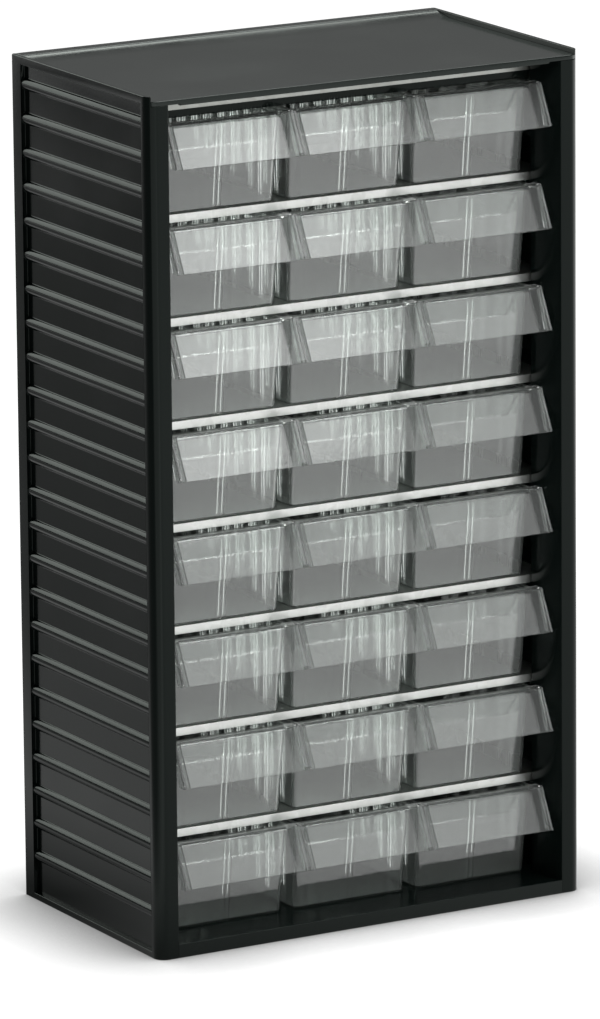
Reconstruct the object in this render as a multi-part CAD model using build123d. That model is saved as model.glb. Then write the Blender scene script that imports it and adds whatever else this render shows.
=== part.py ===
from build123d import *
import os

# Small-parts cabinet: a black moulded case of two ribbed sides, a base, a top
# and a back, seven zinc-plated sheet steel shelves held in grooves behind the
# side ribs, a steel plate and a stop rail under the top, and twenty-four clear
# drawers, three to a shelf, that slide out at the front.
# Axes: X across, Y from front to back, Z up.  The origin is the middle of the
# underside of the case.

# Overall size of the case
case_width = 310.0
case_depth = 180.0
case_height = 550.0

# Rows and columns of drawers
columns = 3
rows = 8
ribs_per_row = 3

# Side mouldings, measured inward from the outer face of the case
skin_recess = 3.0
skin_inner = 5.5
corner_radius = 7.5
rear_corner_radius = 2.0
post_lip = 14.0
post_width = 20.0
post_flare_depth = 12.0
post_depth = 28.0
post_wall = 2.5
post_front_wall = 3.0
front_post_face = 10.0
rear_post_face = 13.0
rear_lip_width = 10.0
rear_lip_depth = 2.0

# Half-round ribs on the outside of each side
rib_height = 7.6
rib_rise = 2.6
rib_root = 0.75
rib_drop = 2.1
recess_bottom_margin = 4.0
recess_top_margin = 5.0

# Base, top and back
floor_top = 9.0
floor_thickness = 2.5
bar_depth = 3.0
base_rib_thickness = 2.4
base_rib_count = 5
top_surface_drop = 3.0
top_thickness = 3.0
top_bar_height = 4.0
top_ramp_depth = 16.0
rear_rim_depth = 9.0
ramp_crest_drop = 0.5
back_thickness = 2.0

# Sheet steel
sheet = 0.8
fold_height = 5.2
sheet_front_gap = 1.2
sheet_rear_gap = 0.5
groove_clearance = 0.1
groove_depth = 2.7
sheet_end_clearance = 0.2
top_headroom = 9.4
top_plate_drop = 0.2
ledge_width = 3.5
ledge_height = 3.4
ledge_front_gap = 1.6
ledge_rear_gap = 1.6
stop_rail_depth = 3.0

# Drawers
drawer_side_gap = 0.3
drawer_seat_gap = 0.2
drawer_headroom = 7.2
wall = 1.5
body_inset_top = 3.0
body_inset_bottom = 4.4
front_wall_top = 24.6
front_wall_bottom = 30.2
rear_wall_gap = 2.5
rear_wall_draft = 1.8
body_corner_radius = 4.0
body_edge_radius = 2.0
rim_width = 1.2
rim_height = 2.2

# Divider guides inside the drawers: groups of two slots along each side wall,
# and one slot in the middle of the front and rear walls
guide_groups = 4
slots_per_group = 2
guide_first = 15.3
guide_group_pitch = 34.7
guide_slot_pitch = 12.2
guide_width = 1.2
guide_slot = 1.8
guide_rise = 2.2
guide_top_margin = 6.0
guide_bottom = 0.75
centre_guide_rise = 2.0
centre_guide_slot = 2.2

# Hooded pull on the drawer front
hood_thickness = 1.8
hood_drop = 26.0
hood_slope_run = 13.0
hood_front = 5.5
wing_width = 5.8
wing_forward = 4.6
wing_up = 1.4
cheek_thickness = 1.4
cheek_depth = 6.0
hood_bend_radius = 4.5

# Stop tabs at the back of the drawers
tab_width = 9.0
tab_thickness = 2.0
tab_rise = 4.8
tab_spacing = 52.0
stop_clearance = 0.5

# Sizes that follow from the ones above
half_width = case_width / 2
half_depth = case_depth / 2
front = -half_depth
rear = half_depth
inner_half_width = half_width - post_width
top_surface = case_height - top_surface_drop
top_underside = top_surface - top_thickness
column_pitch = 2 * inner_half_width / columns
drawer_half_width = column_pitch / 2 - drawer_side_gap
stack_height = top_underside - floor_top - top_headroom
row_pitch = stack_height / rows
rib_pitch = row_pitch / ribs_per_row
drawer_height = row_pitch - drawer_headroom
top_plate_low = floor_top + stack_height - top_plate_drop
top_plate_high = top_plate_low + fold_height
sheet_front = post_depth + sheet_front_gap
back_front = case_depth - rear_lip_depth - back_thickness
sheet_rear = back_front - sheet_rear_gap
sheet_half_width = half_width - skin_inner + groove_depth - sheet_end_clearance
body_half_top = drawer_half_width - body_inset_top
body_half_bottom = drawer_half_width - body_inset_bottom
drawer_rear_top = back_front - rear_wall_gap
drawer_rear_bottom = drawer_rear_top - rear_wall_draft
rib_radius = ((rib_height / 2) ** 2 + rib_rise ** 2) / (2 * rib_rise)
hood_half_width = drawer_half_width - wing_width


def level(row):
    """Height of the surface that a row of drawers stands on, row 0 lowest."""
    return floor_top + row * row_pitch


def block(x0, x1, y0, y1, z0, z1):
    """Box between two corners, Y counted from the front face of the case."""
    box = Box(x1 - x0, y1 - y0, z1 - z0, align=(Align.MIN, Align.MIN, Align.MIN))
    return Pos(x0, front + y0, z0) * box


def profile_yz(points, x0, x1):
    """Prism along X with an outline in Y and Z, Y counted from the front face."""
    outline = Polyline([(0, front + y, z) for y, z in points], close=True)
    face = make_face(outline)
    return Pos(x0, 0, 0) * extrude(face, amount=x1 - x0, dir=(1, 0, 0))


def case_outline(z0, z1):
    """Plan outline of the whole case with its rounded corners."""
    solid = block(-half_width, half_width, 0, case_depth, z0, z1)
    uprights = solid.edges().filter_by(Axis.Z)
    solid = fillet(uprights.filter_by_position(Axis.Y, front, front), corner_radius)
    uprights = solid.edges().filter_by(Axis.Z)
    return fillet(uprights.filter_by_position(Axis.Y, rear, rear), rear_corner_radius)


def side_plan():
    """Plan section of the left side: hollow front post, thin skin, rear lip."""
    flare = (post_width - post_lip) / post_flare_depth
    inner_lip = post_lip + flare * post_front_wall - post_wall
    inside = post_width - post_wall
    points = [
        (0, 0),
        (post_lip, 0),
        (post_width, post_flare_depth),
        (post_width, post_depth),
        (inside, post_depth),
        (inside, post_flare_depth + post_wall / 2),
        (inner_lip, post_front_wall),
        (skin_inner, post_front_wall),
        (skin_inner, case_depth - rear_lip_depth),
        (rear_lip_width, case_depth - rear_lip_depth),
        (rear_lip_width, case_depth),
        (0, case_depth),
    ]
    outline = Polyline([(s - half_width, front + y) for s, y in points], close=True)
    return make_face(outline)


def side_ribs():
    """Half-round ribs standing on the recessed skin of the left side."""
    length = case_depth - front_post_face - rear_post_face
    centre_x = -half_width + skin_recess - rib_rise + rib_radius
    rod = Cylinder(rib_radius, length, rotation=(-90, 0, 0))
    rod = Pos(centre_x, front + front_post_face + length / 2, 0) * rod
    keep = block(-half_width, -half_width + skin_recess + rib_root,
                 front_post_face, case_depth - rear_post_face,
                 -rib_radius, rib_radius)
    rib = rod & keep
    heights = []
    for index in range(1, rows * ribs_per_row + 1):
        heights.append(floor_top - rib_drop + index * rib_pitch)
    return [Pos(0, 0, z) * rib for z in heights]


def side_panel():
    """Left side of the case."""
    body = extrude(side_plan(), amount=top_underside, dir=(0, 0, 1))
    rim = block(-half_width, -half_width + skin_recess, 0, case_depth,
                top_underside, case_height)
    body = (body + rim) & case_outline(0, case_height)
    recess = block(-half_width, -half_width + skin_recess,
                   front_post_face, case_depth - rear_post_face,
                   recess_bottom_margin, case_height - recess_top_margin)
    body = body - recess
    for rib in side_ribs():
        body = body + rib
    groove_inner = -half_width + skin_inner
    for row in range(1, rows):
        top = level(row)
        body = body - block(groove_inner - groove_depth, groove_inner,
                            post_depth, case_depth - rear_lip_depth,
                            top - sheet - groove_clearance, top + groove_clearance)
    ledge_top = top_plate_high - sheet
    ledge = block(groove_inner, groove_inner + ledge_width,
                  sheet_front + stop_rail_depth + ledge_front_gap,
                  sheet_rear - ledge_rear_gap,
                  ledge_top - ledge_height, ledge_top)
    return body + ledge


def base(sides):
    """Floor panel with a front bar, a rear bar and stiffening ribs below."""
    inside = half_width - skin_inner
    lip = half_width - post_lip
    rear_inside = half_width - rear_lip_width
    floor = block(-inside, inside, post_front_wall, case_depth - rear_lip_depth,
                  floor_top - floor_thickness, floor_top)
    front_bar = block(-lip, lip, 0, bar_depth, 0, floor_top)
    rear_bar = block(-rear_inside, rear_inside, case_depth - rear_lip_depth,
                     case_depth, 0, floor_top)
    body = floor + front_bar + rear_bar
    spacing = 2 * inner_half_width / (base_rib_count + 1)
    for index in range(1, base_rib_count + 1):
        x = -inner_half_width + index * spacing
        body = body + block(x - base_rib_thickness / 2, x + base_rib_thickness / 2,
                            bar_depth, case_depth - rear_lip_depth,
                            0, floor_top - floor_thickness)
    for side in sides:
        body = body - side
    return body


def top(sides):
    """Recessed top with a front bar and a ramp up to a rim along the back."""
    inside = half_width - skin_recess
    panel = block(-inside, inside, 0, case_depth, top_underside, top_surface)
    bar_half = half_width - post_width - post_wall
    front_bar = block(-bar_half, bar_half, 0, bar_depth,
                      top_surface - top_bar_height, top_underside)
    ramp_rear = case_depth - rear_rim_depth
    ramp = profile_yz([
        (ramp_rear - top_ramp_depth, top_surface),
        (ramp_rear, case_height - ramp_crest_drop),
        (ramp_rear, case_height),
        (case_depth, case_height),
        (case_depth, top_surface),
    ], -inside, inside)
    body = (panel + ramp) & case_outline(top_underside, case_height)
    return body + front_bar


def back():
    """Flat panel held in front of the rear lips of the sides."""
    half = half_width - skin_inner
    return block(-half, half, back_front, back_front + back_thickness,
                 floor_top, top_underside)


def shelf(row):
    """Steel shelf with its front and rear edges folded down."""
    top_z = level(row)
    fold_half = half_width - skin_inner - sheet_end_clearance
    plate = block(-sheet_half_width, sheet_half_width, sheet_front, sheet_rear,
                  top_z - sheet, top_z)
    front_fold = block(-fold_half, fold_half, sheet_front, sheet_front + sheet,
                       top_z - fold_height, top_z)
    rear_fold = block(-fold_half, fold_half, sheet_rear - sheet, sheet_rear,
                      top_z - fold_height, top_z)
    return plate + front_fold + rear_fold


def top_plate():
    """Steel plate on the side ledges, with the same folds as a shelf."""
    half = half_width - skin_inner
    plate = block(-half, half, sheet_front, sheet_rear,
                  top_plate_high - sheet, top_plate_high)
    front_fold = block(-half, half, sheet_front, sheet_front + sheet,
                       top_plate_low, top_plate_high)
    rear_fold = block(-half, half, sheet_rear - sheet, sheet_rear,
                      top_plate_low, top_plate_high)
    return plate + front_fold + rear_fold


def stop_rail():
    """Plastic rail behind the top fold that stops the highest drawers."""
    return block(-inner_half_width, inner_half_width, sheet_front + sheet,
                 sheet_front + sheet + stop_rail_depth,
                 level(rows) - fold_height, top_plate_high - sheet)


def tapered_box(inset, z0, z1):
    """Body of a drawer shrunk by an inset, between two heights."""
    sections = []
    for z in (z0, z1):
        share = z / drawer_height
        half = body_half_bottom + share * (body_half_top - body_half_bottom) - inset
        near = front_wall_bottom + share * (front_wall_top - front_wall_bottom) + inset
        far = drawer_rear_bottom + share * (drawer_rear_top - drawer_rear_bottom) - inset
        outline = RectangleRounded(2 * half, far - near, body_corner_radius - inset)
        sections.append(Pos(0, front + (near + far) / 2, z) * outline)
    return loft(sections, ruled=True)


def drawer_tub():
    """Tapered tub of a drawer with a rim round its top edge."""
    outside = tapered_box(0, 0, drawer_height)
    bottom_edges = outside.edges().group_by(Axis.Z)[0]
    outside = fillet(bottom_edges, body_edge_radius)
    hollow = tapered_box(wall, wall, drawer_height)
    rim_outer = tapered_box(-rim_width, drawer_height - rim_height, drawer_height)
    rim_back = block(-drawer_half_width, drawer_half_width, front_wall_top + wall,
                     case_depth, 0, case_height)
    return outside, hollow, rim_outer & rim_back


def side_guides():
    """Pairs of upright ribs that stand on the inside of both side walls."""
    guides = []
    for group in range(guide_groups):
        for slot in range(slots_per_group):
            middle = front_wall_bottom + guide_first
            middle = middle + group * guide_group_pitch + slot * guide_slot_pitch
            for shift in (-1, 1):
                y = middle + shift * (guide_slot + guide_width) / 2
                for side in (-1, 1):
                    inner = body_half_bottom - guide_rise
                    x0, x1 = sorted((side * inner, side * body_half_top))
                    guides.append(block(x0, x1, y - guide_width / 2, y + guide_width / 2,
                                        guide_bottom, drawer_height - guide_top_margin))
    return guides


def centre_guides():
    """Pairs of upright ribs in the middle of the front and rear walls."""
    top_z = drawer_height - guide_top_margin
    reach = wall + centre_guide_rise
    near_walls = [(front_wall_bottom, guide_bottom), (front_wall_top, top_z)]
    far_walls = [(drawer_rear_bottom, guide_bottom), (drawer_rear_top, top_z)]
    guides = []
    for walls, inward in ((near_walls, 1), (far_walls, -1)):
        low, high = walls
        outline = [
            low,
            (low[0] + inward * reach, low[1]),
            (high[0] + inward * reach, high[1]),
            high,
        ]
        for side in (-1, 1):
            middle = side * (centre_guide_slot + guide_width) / 2
            guides.append(profile_yz(outline, middle - guide_width / 2,
                                     middle + guide_width / 2))
    return guides


def divider_guides(outside):
    """All the divider guides of a drawer, trimmed to its outside."""
    guides = side_guides() + centre_guides()
    joined = guides[0]
    for guide in guides[1:]:
        joined = joined + guide
    return joined & outside


def hood_outline(ahead, up):
    """Side outline of the hood plate, moved ahead and up by given amounts."""
    low_z = drawer_height - hood_drop
    run = hood_slope_run / hood_drop
    length = (1 + run ** 2) ** 0.5
    back_y = hood_thickness / length
    back_z = hood_thickness * run / length
    under_z = drawer_height - hood_thickness
    front_low = (hood_front, low_z)
    front_high = (hood_front + hood_slope_run, drawer_height)
    behind_low = (hood_front + back_y, low_z - back_z)
    rise = under_z - (low_z - back_z)
    behind_high = (hood_front + back_y + run * rise, under_z)
    points = [
        (front_wall_top + wall, drawer_height),
        front_high,
        front_low,
        behind_low,
        behind_high,
        (front_wall_top + wall, under_z),
    ]
    return [(y - ahead, z + up) for y, z in points]


def hood_face(x, ahead, up):
    """Face of the hood outline at one station across the drawer."""
    points = [(x, front + y, z) for y, z in hood_outline(ahead, up)]
    return make_face(Polyline(points, close=True))


def hood_wing(side):
    """Sloping wing that leads forward from the hood plate to its outer edge."""
    inner_x = side * (hood_half_width - hood_thickness / 2)
    outer_x = side * drawer_half_width
    wing = loft([hood_face(inner_x, 0, 0), hood_face(outer_x, wing_forward, wing_up)],
                ruled=True)
    low = hood_outline(wing_forward, wing_up)
    cheek_points = [
        low[1],
        low[2],
        low[3],
        (low[3][0] + cheek_depth, low[3][1]),
        (low[4][0] + cheek_depth / 2, low[4][1]),
    ]
    x0, x1 = sorted((outer_x, outer_x - side * cheek_thickness))
    return wing + profile_yz(cheek_points, x0, x1)


def hood():
    """Hooded pull: a sloping plate carried forward from the top of the front."""
    plate = profile_yz(hood_outline(0, 0), -hood_half_width, hood_half_width)
    bend = plate.edges().filter_by(Axis.X)
    bend = bend.filter_by_position(Axis.Z, drawer_height, drawer_height)
    bend = bend.sort_by(Axis.Y)[0]
    plate = fillet(bend, hood_bend_radius)
    return plate + hood_wing(-1) + hood_wing(1)


def drawer():
    """One clear drawer at the middle of the lowest row, before it is placed."""
    outside, hollow, rim = drawer_tub()
    body = outside + rim - hollow
    body = body + divider_guides(outside)
    body = body + hood()
    for side in (-1, 1):
        x = side * tab_spacing / 2
        body = body + block(x - tab_width / 2, x + tab_width / 2,
                            drawer_rear_top - tab_thickness, drawer_rear_top,
                            drawer_height - rim_height, drawer_height + tab_rise)
    return body


def save(shape, node):
    """Write one named node."""
    export_step(shape, "parts/" + node + ".step")


os.makedirs("parts", exist_ok=True)

left = side_panel()
right = mirror(left, about=Plane.YZ)
save(left, "side_left")
save(right, "side_right")
save(base([left, right]), "base")
save(top([left, right]), "top")
save(back(), "back")
for row in range(1, rows):
    save(shelf(row), "shelf_" + str(row))
save(top_plate(), "top_plate")
save(stop_rail(), "stop_rail")

pattern = drawer()
for row in range(rows):
    for column in range(columns):
        x = (column - (columns - 1) / 2) * column_pitch
        z = level(row) + drawer_seat_gap
        name = "drawer_r" + str(rows - row) + "_c" + str(column + 1)
        save(Pos(x, 0, z) * pattern, name)
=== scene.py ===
import bpy
import math
from mathutils import Matrix, Vector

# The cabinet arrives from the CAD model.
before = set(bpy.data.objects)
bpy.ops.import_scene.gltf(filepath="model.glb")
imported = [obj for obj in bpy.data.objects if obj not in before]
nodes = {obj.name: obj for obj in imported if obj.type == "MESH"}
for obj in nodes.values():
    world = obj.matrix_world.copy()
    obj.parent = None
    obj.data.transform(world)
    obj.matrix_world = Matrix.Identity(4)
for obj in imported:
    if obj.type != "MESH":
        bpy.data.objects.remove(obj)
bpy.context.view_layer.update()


# MOULDED CASE: two ribbed sides, base, top, back and the stop rail.
# Black polystyrene, injection moulded. Its gloss is cloudy and differs by piece:
# satin sides, a rubbed top, a flat back and a polished base. Its edges are eased.
def plain_material(name, colour, roughness):
    material = bpy.data.materials.new(name)
    material.use_nodes = True
    shader = material.node_tree.nodes["Principled BSDF"]
    shader.inputs["Base Color"].default_value = (*colour, 1)
    shader.inputs["Roughness"].default_value = roughness
    return material, material.node_tree, shader


def dress(names, material):
    for name in names:
        slots = nodes[name].data.materials
        slots.clear()
        slots.append(material)


touching = 0.00001
crease = math.radians(35)


def soften(names, radius, sharpest=crease, clamp=True):
    for name in names:
        nodes[name].modifiers.new("joined corners", "WELD").merge_threshold = touching
        edge = nodes[name].modifiers.new("soft edges", "BEVEL")
        edge.width = radius
        edge.segments = 2
        edge.limit_method = "ANGLE"
        edge.angle_limit = sharpest
        edge.use_clamp_overlap = clamp
        smooth = nodes[name].modifiers.new("smooth shading", "WEIGHTED_NORMAL")
        smooth.keep_sharp = False
        for face in nodes[name].data.polygons:
            face.use_smooth = True


grain_per_cloud = 40.0


def moulding_group():
    group = bpy.data.node_groups.new("Moulded surface", "ShaderNodeTree")
    sockets = group.interface
    for name in ("Scale", "Smoothest", "Roughest"):
        sockets.new_socket(name, in_out="INPUT", socket_type="NodeSocketFloat")
    for name in ("Roughness", "Height"):
        sockets.new_socket(name, in_out="OUTPUT", socket_type="NodeSocketFloat")
    inside = group.nodes
    link = group.links.new
    given = inside.new("NodeGroupInput")
    out = inside.new("NodeGroupOutput")
    place = inside.new("ShaderNodeTexCoord")
    cloud = inside.new("ShaderNodeTexNoise")
    cloud.inputs["Detail"].default_value = 5.0
    grain = inside.new("ShaderNodeTexNoise")
    grain.inputs["Detail"].default_value = 3.0
    finer = inside.new("ShaderNodeMath")
    finer.operation = "MULTIPLY"
    finer.inputs[1].default_value = grain_per_cloud
    spread = inside.new("ShaderNodeMapRange")
    link(place.outputs["Object"], cloud.inputs["Vector"])
    link(place.outputs["Object"], grain.inputs["Vector"])
    link(given.outputs["Scale"], cloud.inputs["Scale"])
    link(given.outputs["Scale"], finer.inputs[0])
    link(finer.outputs[0], grain.inputs["Scale"])
    link(cloud.outputs["Fac"], spread.inputs["Value"])
    spread.inputs["From Min"].default_value = 0.35
    spread.inputs["From Max"].default_value = 0.65
    link(given.outputs["Smoothest"], spread.inputs["To Min"])
    link(given.outputs["Roughest"], spread.inputs["To Max"])
    link(spread.outputs["Result"], out.inputs["Roughness"])
    link(grain.outputs["Fac"], out.inputs["Height"])
    return group


moulding = moulding_group()


black = (0.0018, 0.0034, 0.0030)
green_sheen = (0.90, 1.0, 0.94, 1)


def black_plastic(name, smoothest, roughest, index):
    material, tree, shader = plain_material(name, black, roughest)
    shader.inputs["IOR"].default_value = index
    shader.inputs["Specular Tint"].default_value = green_sheen
    link = tree.links.new
    skin = tree.nodes.new("ShaderNodeGroup")
    skin.node_tree = moulding
    skin.inputs["Scale"].default_value = 14.0
    skin.inputs["Smoothest"].default_value = smoothest
    skin.inputs["Roughest"].default_value = roughest
    bump = tree.nodes.new("ShaderNodeBump")
    bump.inputs["Strength"].default_value = 0.05
    bump.inputs["Distance"].default_value = 0.0004
    link(skin.outputs["Roughness"], shader.inputs["Roughness"])
    link(skin.outputs["Height"], bump.inputs["Height"])
    link(bump.outputs["Normal"], shader.inputs["Normal"])
    return material


side_names = ["side_left", "side_right"]
dress(side_names + ["stop_rail"], black_plastic("Black polystyrene", 0.11, 0.19, 1.23))
dress(["back"], black_plastic("Flat black polystyrene", 0.16, 0.26, 1.33))
dress(["top"], black_plastic("Rubbed black polystyrene", 0.10, 0.20, 1.38))
dress(["base"], black_plastic("Polished black polystyrene", 0.04, 0.08, 1.28))
outer_edge = 0.0004
inner_edge = 0.0005
soften(["top", "base"] + side_names, outer_edge, clamp=False)
soften(["back", "stop_rail"], inner_edge)


# SHELVES: seven folded sheets and the plate under the top.
# Zinc-plated steel, cut and folded, with fine rolling lines that run along the
# sheet and a faint crystal pattern in the plating. The plate gets a darker copy:
# painted shade, for the shadow it sits in under the top.
def zinc_steel(name, dull, bright):
    material, tree, shader = plain_material(name, dull, 0.3)
    shader.inputs["Metallic"].default_value = 1.0
    link = tree.links.new
    place = tree.nodes.new("ShaderNodeTexCoord")
    stretch = tree.nodes.new("ShaderNodeMapping")
    stretch.inputs["Scale"].default_value = (3, 400, 400)
    lines = tree.nodes.new("ShaderNodeTexNoise")
    lines.inputs["Scale"].default_value = 6.0
    lines.inputs["Detail"].default_value = 4.0
    crystals = tree.nodes.new("ShaderNodeTexVoronoi")
    crystals.inputs["Scale"].default_value = 160.0
    tone = tree.nodes.new("ShaderNodeMix")
    tone.data_type = "RGBA"
    tone.inputs["A"].default_value = (*dull, 1)
    tone.inputs["B"].default_value = (*bright, 1)
    rough = tree.nodes.new("ShaderNodeMapRange")
    rough.inputs["To Min"].default_value = 0.22
    rough.inputs["To Max"].default_value = 0.40
    bump = tree.nodes.new("ShaderNodeBump")
    bump.inputs["Strength"].default_value = 0.08
    bump.inputs["Distance"].default_value = 0.0003
    link(place.outputs["Object"], stretch.inputs["Vector"])
    link(stretch.outputs["Vector"], lines.inputs["Vector"])
    link(place.outputs["Object"], crystals.inputs["Vector"])
    link(crystals.outputs["Color"], tone.inputs["Factor"])
    link(tone.outputs["Result"], shader.inputs["Base Color"])
    link(lines.outputs["Fac"], rough.inputs["Value"])
    link(rough.outputs["Result"], shader.inputs["Roughness"])
    link(lines.outputs["Fac"], bump.inputs["Height"])
    link(bump.outputs["Normal"], shader.inputs["Normal"])
    return material


shelf_names = ["shelf_" + str(number) for number in range(1, 8)]
steel_names = shelf_names + ["top_plate"]
dress(shelf_names, zinc_steel("Zinc plated steel", (0.57, 0.58, 0.56), (0.67, 0.68, 0.66)))
# The plate's darker tones are painted shade where it sits under the top.
dress(["top_plate"], zinc_steel("Zinc plated steel in painted shade", (0.30, 0.31, 0.29), (0.37, 0.38, 0.36)))
sheared_edge = 0.0002
soften(steel_names, sheared_edge)


# DRAWERS: clear tubs with a hooded pull, divider guides and stop tabs.
# Crystal polystyrene in one shot. The walls are glossy and slightly wavy, the
# plastic is faintly grey-green, and use has left it a little hazy.
grey_green = (0.93, 0.957, 0.94)
clearness = 0.965
polystyrene_index = 1.59


def clear_polystyrene():
    material, tree, shader = plain_material("Clear polystyrene", grey_green, 0.04)
    shader.inputs["Transmission Weight"].default_value = clearness
    shader.inputs["IOR"].default_value = polystyrene_index
    link = tree.links.new
    skin = tree.nodes.new("ShaderNodeGroup")
    skin.node_tree = moulding
    skin.inputs["Scale"].default_value = 9.0
    skin.inputs["Smoothest"].default_value = 0.0
    skin.inputs["Roughest"].default_value = 0.03
    bump = tree.nodes.new("ShaderNodeBump")
    bump.inputs["Strength"].default_value = 0.04
    bump.inputs["Distance"].default_value = 0.0006
    link(skin.outputs["Roughness"], shader.inputs["Roughness"])
    link(skin.outputs["Height"], bump.inputs["Height"])
    link(bump.outputs["Normal"], shader.inputs["Normal"])
    path = tree.nodes.new("ShaderNodeLightPath")
    passing = tree.nodes.new("ShaderNodeBsdfTransparent")
    passing.inputs["Color"].default_value = (0.86, 0.88, 0.87, 1)
    either = tree.nodes.new("ShaderNodeMixShader")
    link(path.outputs["Is Shadow Ray"], either.inputs["Fac"])
    link(shader.outputs["BSDF"], either.inputs[1])
    link(passing.outputs["BSDF"], either.inputs[2])
    link(either.outputs["Shader"], tree.nodes["Material Output"].inputs["Surface"])
    return material


drawer_names = [name for name in nodes if name.startswith("drawer_")]
dress(drawer_names, clear_polystyrene())
drawer_edge = 0.0003
soften(drawer_names, drawer_edge, math.radians(30))


# FLOOR: a wide pale sheet that the cabinet stands on. It isn't part of the object.
# It glows rather than being lit. To the camera it glows white, with a painted
# contact shadow where things stand on it. To other rays, in gloss and through the
# clear drawers, it glows as painted pools of light: in front, on the left close
# by, and far behind on the right.
def floor_ramp(tree, source, stops):
    ramp = tree.nodes.new("ShaderNodeValToRGB")
    low, high = stops[0][0], stops[-1][0]
    span = tree.nodes.new("ShaderNodeMapRange")
    span.inputs["From Min"].default_value = low
    span.inputs["From Max"].default_value = high
    tree.links.new(source, span.inputs["Value"])
    tree.links.new(span.outputs["Result"], ramp.inputs["Fac"])
    steps = ramp.color_ramp.elements
    while len(steps) < len(stops):
        steps.new(0.5)
    for step, (place, light) in zip(steps, stops):
        step.position = (place - low) / (high - low)
        step.color = (light, light, light, 1)
    return ramp.outputs["Color"]


ahead_right = (0.5, -0.866, 0)
back_right = (0.7, 0.7, 0)
# Painted pools of light: how bright the floor glows along three directions, for gloss and
# see-through rays only.
light_ahead = [(-1.8, 0.04), (-0.15, 0.08), (0.14, 1.0), (1.4, 1.3)]
light_left = [(-1.3, 0.12), (-0.5, 0.2), (-0.28, 0.9), (-0.17, 0.0)]
light_behind = [(0.72, 0.0), (1.0, 1.3), (2.5, 1.3)]
# Painted contact shadow: the camera's white glow darkens by ambient occlusion near the cabinet.
shadow_reach = 0.08
shadow_depth = 2.0


def studio_floor():
    reach = 8.0
    mesh = bpy.data.meshes.new("floor")
    corners = [(-reach, -reach, 0), (reach, -reach, 0), (reach, reach, 0), (-reach, reach, 0)]
    mesh.from_pydata(corners, [], [(0, 1, 2, 3)])
    sheet = bpy.data.objects.new("floor", mesh)
    bpy.context.scene.collection.objects.link(sheet)
    material, tree, shader = plain_material("Pale floor", (0.1, 0.1, 0.1), 0.9)
    link = tree.links.new
    shader.inputs["Emission Color"].default_value = (1, 1, 1, 1)
    place = tree.nodes.new("ShaderNodeTexCoord")
    split = tree.nodes.new("ShaderNodeSeparateXYZ")
    link(place.outputs["Object"], split.inputs["Vector"])
    ahead = tree.nodes.new("ShaderNodeVectorMath")
    ahead.operation = "DOT_PRODUCT"
    ahead.inputs[1].default_value = ahead_right
    link(place.outputs["Object"], ahead.inputs[0])
    behind = tree.nodes.new("ShaderNodeVectorMath")
    behind.operation = "DOT_PRODUCT"
    behind.inputs[1].default_value = back_right
    link(place.outputs["Object"], behind.inputs[0])
    front = floor_ramp(tree, ahead.outputs["Value"], light_ahead)
    left = floor_ramp(tree, split.outputs["X"], light_left)
    rear = floor_ramp(tree, behind.outputs["Value"], light_behind)
    near = tree.nodes.new("ShaderNodeMath")
    link(front, near.inputs[0])
    link(left, near.inputs[1])
    painted_pools = tree.nodes.new("ShaderNodeMath")
    link(near.outputs["Value"], painted_pools.inputs[0])
    link(rear, painted_pools.inputs[1])
    path = tree.nodes.new("ShaderNodeLightPath")
    shade = tree.nodes.new("ShaderNodeAmbientOcclusion")
    shade.inputs["Distance"].default_value = shadow_reach
    painted_contact_shadow = tree.nodes.new("ShaderNodeMath")
    painted_contact_shadow.operation = "POWER"
    painted_contact_shadow.inputs[1].default_value = shadow_depth
    link(shade.outputs["AO"], painted_contact_shadow.inputs[0])
    # The floor's glow: painted pools of light for other rays, painted contact shadow for the
    # camera.
    glow = tree.nodes.new("ShaderNodeMix")
    link(path.outputs["Is Camera Ray"], glow.inputs["Factor"])
    link(painted_pools.outputs["Value"], glow.inputs["A"])
    link(painted_contact_shadow.outputs["Value"], glow.inputs["B"])
    link(glow.outputs["Result"], shader.inputs["Emission Strength"])
    mesh.materials.append(material)


studio_floor()


# LIGHTS: a dim room and seven soft boxes. Two hang overhead, one of them for the
# front edges, two stand high in front on the right, where the hoods show them,
# and three stand behind, where the ribs, the rear ramp and the top show them.
def soft_box(name, place, aim, width, height, radiance, tint=(1, 1, 1)):
    light = bpy.data.lights.new(name, "AREA")
    light.color = tint
    light.shape = "RECTANGLE"
    light.size = width
    light.size_y = height
    light.energy = radiance * math.pi * width * height
    lamp = bpy.data.objects.new(name, light)
    lamp.location = place
    direction = Vector(aim) - Vector(place)
    lamp.rotation_euler = direction.to_track_quat("-Z", "Y").to_euler()
    lamp.visible_camera = False
    bpy.context.scene.collection.objects.link(lamp)


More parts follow.
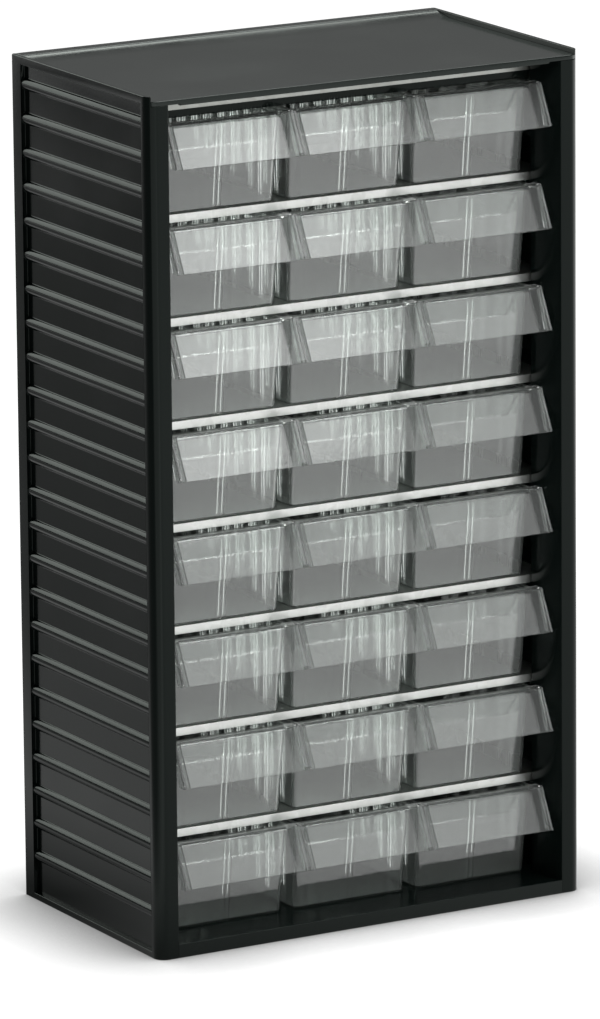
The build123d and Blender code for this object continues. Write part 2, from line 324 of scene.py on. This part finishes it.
cool = (0.94, 1.0, 0.95)
soft_box("overhead_box", (0.35, -0.45, 2.3), (0.1, -0.25, 0.3), 2.6, 1.3, 5.0)
soft_box("edge_box", (0.95, -0.56, 2.25), (0, -0.09, 0.55), 1.3, 0.6, 5.0)
soft_box("front_box", (0.95, -1.80, 1.85), (0, 0, 0.3), 1.5, 1.3, 0.8)
soft_box("front_fill", (0.75, -1.85, 2.05), (0, 0, 0.3), 1.0, 0.8, 1.6)
soft_box("rear_box", (-0.45, 2.5, 1.35), (0, 0, 0.5), 2.4, 1.7, 3.2, cool)
soft_box("ramp_box", (1.36, 2.1, 1.94), (0, 0, 0.55), 1.1, 0.6, 2.4, cool)
soft_box("top_box", (1.55, 2.6, 1.15), (0, 0, 0.55), 1.3, 0.9, 0.08, cool)


room_light = 0.15


def room():
    world = bpy.data.worlds.new("Studio")
    bpy.context.scene.world = world
    world.use_nodes = True
    tree = world.node_tree
    dim = tree.nodes["Background"]
    dim.inputs["Color"].default_value = (1, 1, 1, 1)
    dim.inputs["Strength"].default_value = room_light
    pale = tree.nodes.new("ShaderNodeBackground")
    path = tree.nodes.new("ShaderNodeLightPath")
    either = tree.nodes.new("ShaderNodeMixShader")
    tree.links.new(path.outputs["Is Camera Ray"], either.inputs["Fac"])
    tree.links.new(dim.outputs["Background"], either.inputs[1])
    tree.links.new(pale.outputs["Background"], either.inputs[2])
    tree.links.new(either.outputs["Shader"], tree.nodes["World Output"].inputs["Surface"])
    bpy.context.scene.view_settings.view_transform = "Standard"


room()


# CAMERA: a long lens, a little above the cabinet and to its left.
def long_lens():
    azimuth = math.radians(-29.6)
    rise = math.radians(13.44)
    roll = math.radians(-0.53)
    place = Vector((-2.5633, -4.5129, 1.4938))
    focal_length = 295.64
    sensor_height = 36.0
    back = Vector((math.sin(azimuth) * math.cos(rise),
                   -math.cos(azimuth) * math.cos(rise), math.sin(rise)))
    right = Vector((0, 0, 1)).cross(back).normalized()
    turn = Matrix((right, back.cross(right), back)).transposed().to_4x4()
    data = bpy.data.cameras.new("camera")
    data.sensor_fit = "VERTICAL"
    data.sensor_height = sensor_height
    data.lens = focal_length
    data.clip_end = 100.0
    eye = bpy.data.objects.new("camera", data)
    eye.matrix_world = Matrix.Translation(place) @ turn @ Matrix.Rotation(roll, 4, "Z")
    bpy.context.scene.collection.objects.link(eye)
    bpy.context.scene.camera = eye


long_lens()
